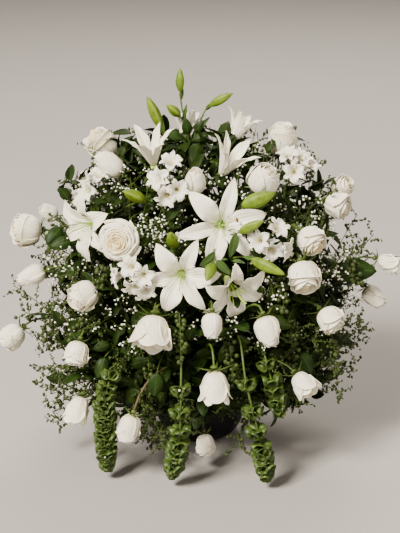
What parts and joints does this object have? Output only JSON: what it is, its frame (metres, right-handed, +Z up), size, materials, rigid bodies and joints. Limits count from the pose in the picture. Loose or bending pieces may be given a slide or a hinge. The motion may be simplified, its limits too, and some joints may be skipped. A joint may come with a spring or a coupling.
{
  "type": "casket flower arrangement",
  "caption": "Full domed arrangement of white roses and open lilies with green bell spikes trailing over a low black bowl, for standing by or on a casket",
  "frame": {"origin": "centre of the bowl's flat base", "axes": "+Z up, -Y towards the viewer that the blooms face, +X to that viewer's right"},
  "size_m": [0.8477, 0.6039, 0.784],
  "materials": {
    "black_bowl": "smooth satin black",
    "wet_foam": "matt dark green, fine-celled",
    "white_rose": "soft white petals, creamy in the heart",
    "white_lily": "smooth white petals, green-yellow throat",
    "white_alstroemeria": "white petals with a green tinge",
    "gypsophila": "tiny white florets on thin stalks",
    "rose_green": "deep green stems and leaves",
    "lily_green": "yellow-green ribbed buds and stalks",
    "bell_green": "light green cups",
    "trailing_green": "muted green stalks and seed pods",
    "dark_leaf": "dark green leaves, dull sheen"
  },
  "bodies": {
    "root": {"bowl": "black_bowl", "foam": "wet_foam", "rose_01": "white_rose", "rose_02": "white_rose", "rose_03": "white_rose", "rose_04": "white_rose", "rose_05": "white_rose", "rose_06": "white_rose", "rose_07": "white_rose", "rose_08": "white_rose", "rose_09": "white_rose", "rose_10": "white_rose", "rose_11": "white_rose", "rose_12": "white_rose", "rose_13": "white_rose", "rose_14": "white_rose", "rose_15": "white_rose", "rose_16": "white_rose", "rose_17": "white_rose", "rose_18": "white_rose", "rose_19": "white_rose", "rose_20": "white_rose", "rose_21": "white_rose", "rose_22": "white_rose", "rose_23": "white_rose", "rose_24": "white_rose", "rose_25": "white_rose", "rose_26": "white_rose", "rose_27": "white_rose", "rose_28": "white_rose", "rose_29": "white_rose", "lily_1": "white_lily", "lily_2": "white_lily", "lily_3": "white_lily", "lily_4": "white_lily", "lily_5": "white_lily", "lily_6": "white_lily", "lily_7": "white_lily", "lily_8": "white_lily", "lily_stem_centre": "lily_green", "lily_stem_upper": "lily_green", "lily_stem_left": "lily_green", "lily_stem_right": "lily_green", "rose_stems_front": "rose_green", "rose_stems_left": "rose_green", "rose_stems_right": "rose_green", "rose_stems_top_left": "rose_green", "rose_stems_top_right": "rose_green", "alstroemeria_left": "white_alstroemeria", "alstroemeria_right": "white_alstroemeria", "alstroemeria_top": "white_alstroemeria", "bells_of_ireland_1": "bell_green", "bells_of_ireland_2": "bell_green", "bells_of_ireland_3": "bell_green", "bells_of_ireland_4": "bell_green", "gypsophila_left": "gypsophila", "gypsophila_right": "gypsophila", "trailing_greens_left": "trailing_green", "trailing_greens_right": "trailing_green", "back_foliage": "dark_leaf"}
  },
  "joints": []
}
